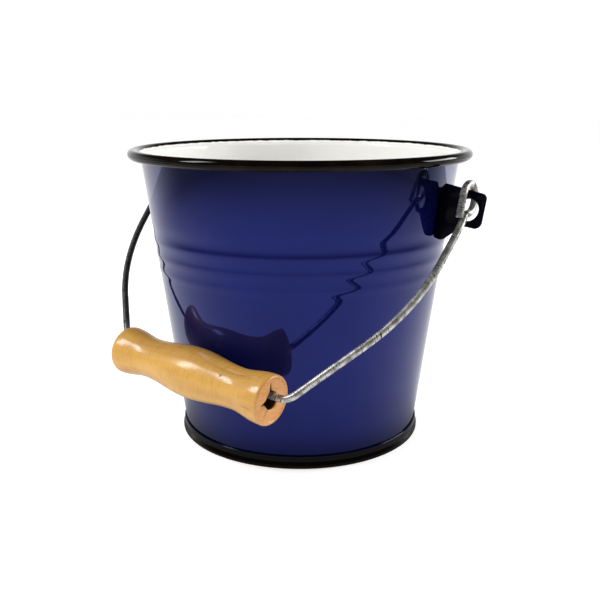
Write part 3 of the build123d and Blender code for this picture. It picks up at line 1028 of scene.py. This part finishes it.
def lacquered_wood():
    """Fine turned rings and long flecks under a coat of lacquer, with duller, redder ends, and
    painted shade in the bore.
    """
    material, tree, shader, coords = start_material(
        "lacquered_beech", IOR=1.45, Specular_IOR_Level=0.3, Coat_Weight=0.6,
        Coat_Roughness=0.19, Coat_IOR=1.5,
    )
    place = add(tree, "ShaderNodeMapping", {
        "Vector": coords, "Location": grip_place.translation,
        "Rotation": grip_place.to_euler(),
    }, vector_type="TEXTURE")
    ringed = add(tree, "ShaderNodeMapping", {"Vector": place, "Scale": (130.0, 130.0, 1300.0)})
    rings = add(tree, "ShaderNodeTexNoise", {"Vector": ringed, "Scale": 1.0, "Detail": 4.0,
                                             "Roughness": 0.6})
    broad = add(tree, "ShaderNodeMapping", {
        "Vector": place, "Scale": (170.0, 90.0, 9.0),
        "Location": (3.0, 1.0, 0.0),
    })
    layers = add(tree, "ShaderNodeTexNoise", {"Vector": broad, "Scale": 1.0, "Detail": 3.0,
                                              "Distortion": 0.4})
    colour = blend(tree, band(tree, layers, 0.35, 0.65), HONEY, DARK_HONEY)
    grooves = band(tree, rings, 0.48, 0.72)
    faint = add(tree, "ShaderNodeMath", {0: grooves, 1: 0.45}, operation="MULTIPLY")
    colour = blend(tree, faint, colour, RING)
    fleck_map = add(tree, "ShaderNodeMapping", {"Vector": place, "Scale": (500.0, 500.0, 110.0)})
    flecks = add(tree, "ShaderNodeMath", {
        0: patches(tree, fleck_map, 1.0, 1.0, 0.72, 0.8), 1: 0.6,
    }, operation="MULTIPLY")
    colour = blend(tree, flecks, colour, FLECK)
    level = add(tree, "ShaderNodeSeparateXYZ", {0: place}).outputs["Z"]
    distance = add(tree, "ShaderNodeMath", {0: level}, operation="ABSOLUTE")
    end_face = band(tree, distance, (GRIP_LENGTH / 2 - 1.2) * MM, (GRIP_LENGTH / 2 - 0.7) * MM)
    grain = add(tree, "ShaderNodeTexNoise", {"Vector": place, "Scale": 1100.0, "Detail": 4.0})
    end_colour = blend(tree, band(tree, grain, 0.35, 0.7), END_GRAIN, DARK_END_GRAIN)
    colour = blend(tree, end_face, colour, end_colour)
    flat = add(tree, "ShaderNodeVectorMath", {0: place, 1: (1, 1, 0)}, operation="MULTIPLY")
    radius = add(tree, "ShaderNodeVectorMath", {0: flat}, operation="LENGTH")
    # Painted shade inside the bore and the cracks
    inside = band(tree, radius.outputs["Value"], BORE_SHADE_RADIUS * MM, (BORE_SHADE_RADIUS - 0.3) * MM)
    deep = band(tree, distance, (GRIP_LENGTH / 2 - 0.75) * MM, (GRIP_LENGTH / 2 - 1.6) * MM)
    bore_shade = add(tree, "ShaderNodeMath", {0: inside, 1: deep}, operation="MULTIPLY")
    colour = blend(tree, bore_shade, colour, BORE_PAINTED_SHADE)
    knot = [c * MM for c in KNOT]
    off = add(tree, "ShaderNodeVectorMath", {0: place, 1: knot}, operation="DISTANCE")
    pin = band(tree, off.outputs["Value"], KNOT_RADIUS * MM, 0.6 * KNOT_RADIUS * MM)
    colour = blend(tree, pin, colour, KNOT_BROWN)
    rough = add(tree, "ShaderNodeMapRange", {"Value": rings, "To Min": 0.38, "To Max": 0.6})
    mixed = add(tree, "ShaderNodeMath", {
        0: add(tree, "ShaderNodeMapRange", {"Value": end_face, "To Min": 0.35}),
        1: grain, 2: rings,
    }, operation="MULTIPLY_ADD")
    bump = add(tree, "ShaderNodeBump", {"Height": mixed, "Distance": 0.08 * MM})
    gloss = add(tree, "ShaderNodeBump", {"Height": mixed, "Distance": 0.05 * MM})
    plug(tree, shader, Base_Color=colour, Roughness=rough, Normal=bump,
         Coat_Normal=gloss)
    return material


wood = lacquered_wood()
print("grip slants", round(degrees(asin(abs(grip_along.z))), 1), "degrees")

# %% Turn the grip
GRIP_END_RADIUS = 13.35
GRIP_WAIST_RADIUS = 11.1
GRIP_WAIST_AT = 31.5
GRIP_SWELL_RADIUS = 13.95
GRIP_BORE_RADIUS = 4.7
LEFT_LIP_RADIUS = 3.6          # sanded rounder on this end
RIGHT_LIP_RADIUS = 1.5
END_SINK = 0.5                 # the end faces are cut slightly hollow
END_STEP = 0.35
GRIP_HALF = GRIP_LENGTH / 2


def ease(low, high, share):
    """A smooth step from one radius to another."""
    return low + (high - low) * (1 - cos(pi * share)) / 2


def grip_radius(z):
    """Waist on each side of the swell, and a flare to each end."""
    z = abs(z)
    if z < GRIP_WAIST_AT:
        return ease(GRIP_SWELL_RADIUS, GRIP_WAIST_RADIUS, z / GRIP_WAIST_AT)
    flare = (z - GRIP_WAIST_AT) / (GRIP_HALF - LEFT_LIP_RADIUS - GRIP_WAIST_AT)
    return ease(GRIP_WAIST_RADIUS, GRIP_END_RADIUS, min(flare, 1))


left_reach, right_reach = GRIP_HALF - LEFT_LIP_RADIUS, GRIP_HALF - RIGHT_LIP_RADIUS
left_lip, right_lip = GRIP_END_RADIUS - LEFT_LIP_RADIUS, GRIP_END_RADIUS - RIGHT_LIP_RADIUS
side_step = (left_reach + right_reach) / 100
side_line = [(grip_radius(z), z) for z in (-left_reach + side_step * i for i in range(101))]
left_floor, right_floor = -GRIP_HALF + END_SINK, GRIP_HALF - END_SINK
grip_outline = (
    run((GRIP_BORE_RADIUS, left_floor), (left_lip - 1.0, left_floor), END_STEP)
    + run((left_lip - 1.0, left_floor), (left_lip, -GRIP_HALF), END_STEP)
    + arc((left_lip, -left_reach), LEFT_LIP_RADIUS, -90, 0, 10)
    + side_line[1:-1]
    + arc((right_lip, right_reach), RIGHT_LIP_RADIUS, 0, 90, 8)
    + run((right_lip, GRIP_HALF), (right_lip - 0.8, right_floor), END_STEP)[1:]
    + run((right_lip - 0.8, right_floor), (GRIP_BORE_RADIUS, right_floor), END_STEP)
    + run((GRIP_BORE_RADIUS, right_floor), (GRIP_BORE_RADIUS, left_floor), 1.0)
)
grip = turned("turned_grip", grip_outline + grip_outline[:1], STEPS, wood)

# %% [markdown]
# The bore was drilled in a hurry: at each end its edge is torn and four small cracks run out from
# it. Points of the end faces sink into the cracks, and points of the bore near the ends move out,
# so the tear has real depth.

# %% Tear the ends of the bore
CRACKS = (                     # (angle round the axis, depth, length)
    (96, 2.4, 5.6), (183, 1.5, 3.6), (232, 0.6, 6.6), (300, 0.6, 2.4),
)
CRACK_WIDTH = 0.6
TEAR_DEPTH = 7.0               # how far in from each end the bore is torn
TEAR_REACH = 0.9               # how far out the torn edge goes
TEAR_PITCH = 1.7               # radius of the ring on which the noise is read, so it meets itself


def crack_depth(angle, radius):
    """How deep the end face is sunk at this angle and distance from the axis."""
    deepest = 0.0
    for at, depth, length in CRACKS:
        off = radians((angle - at + 180) % 360 - 180) * radius
        out = max(0.0, 1 - (radius - GRIP_BORE_RADIUS) / length)
        width = CRACK_WIDTH * (0.4 + out)
        deepest = max(deepest, depth * out**0.5 * exp(-((off / width) ** 2)))
    return deepest


for vert in grip.data.vertices:
    x, y, z = (c / MM for c in vert.co)
    radius, angle = sqrt(x * x + y * y), degrees(atan2(y, x))
    from_end = GRIP_HALF - abs(z)
    if from_end < END_SINK + 0.01 and radius < GRIP_END_RADIUS - 2.0:
        sink = crack_depth(angle, radius)
        vert.co.z -= (1 if z > 0 else -1) * sink * MM
    if radius < GRIP_BORE_RADIUS + TEAR_REACH and from_end < TEAR_DEPTH:
        fade = 1 - from_end / TEAR_DEPTH
        torn = noise.noise(Vector((*polar((0, 0), TEAR_PITCH, angle), z * 0.15)))
        grow = (TEAR_REACH * abs(torn) + 0.35 * crack_depth(angle, GRIP_BORE_RADIUS)) * fade
        scale = 1 + grow / radius
        vert.co.x *= scale
        vert.co.y *= scale
grip.data.transform(grip_place)
print("grip middle", [round(c, 1) for c in grip_middle])

# %% [markdown]
# ## Ride the bodies
#
# Each piece rides the CAD body that moves it, and the CAD node that it stands for is hidden.
# The rim's hidden wire has no piece of its own, so it keeps its CAD shape and gets the zinc
# finish.

# %% Bodies, nodes and slots
for piece, body, node, slot in (
    (wall, "pail", "pail_wall", "blue_enamel"),
    (lining, "pail", "enamel_lining", "white_enamel"),
    (rim, "pail", "rim_bead", "black_enamel"),
    (pan, "pail", "bottom_pan", "pan_enamel"),
    (foot_ring, "pail", "foot_ring", "foot_enamel"),
    (ear_right, "pail", "ear_right", "ear_enamel"),
    (ear_left, "pail", "ear_left", "ear_enamel"),
    (bail, "bail", "bail_wire", "zinc_wire"),
    (grip, "grip", "grip", "beech"),
):
    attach(piece, body)
    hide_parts(node)

rim_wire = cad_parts["rim_wire"]
rim_wire.data.materials.clear()
rim_wire.data.materials.append(zinc)
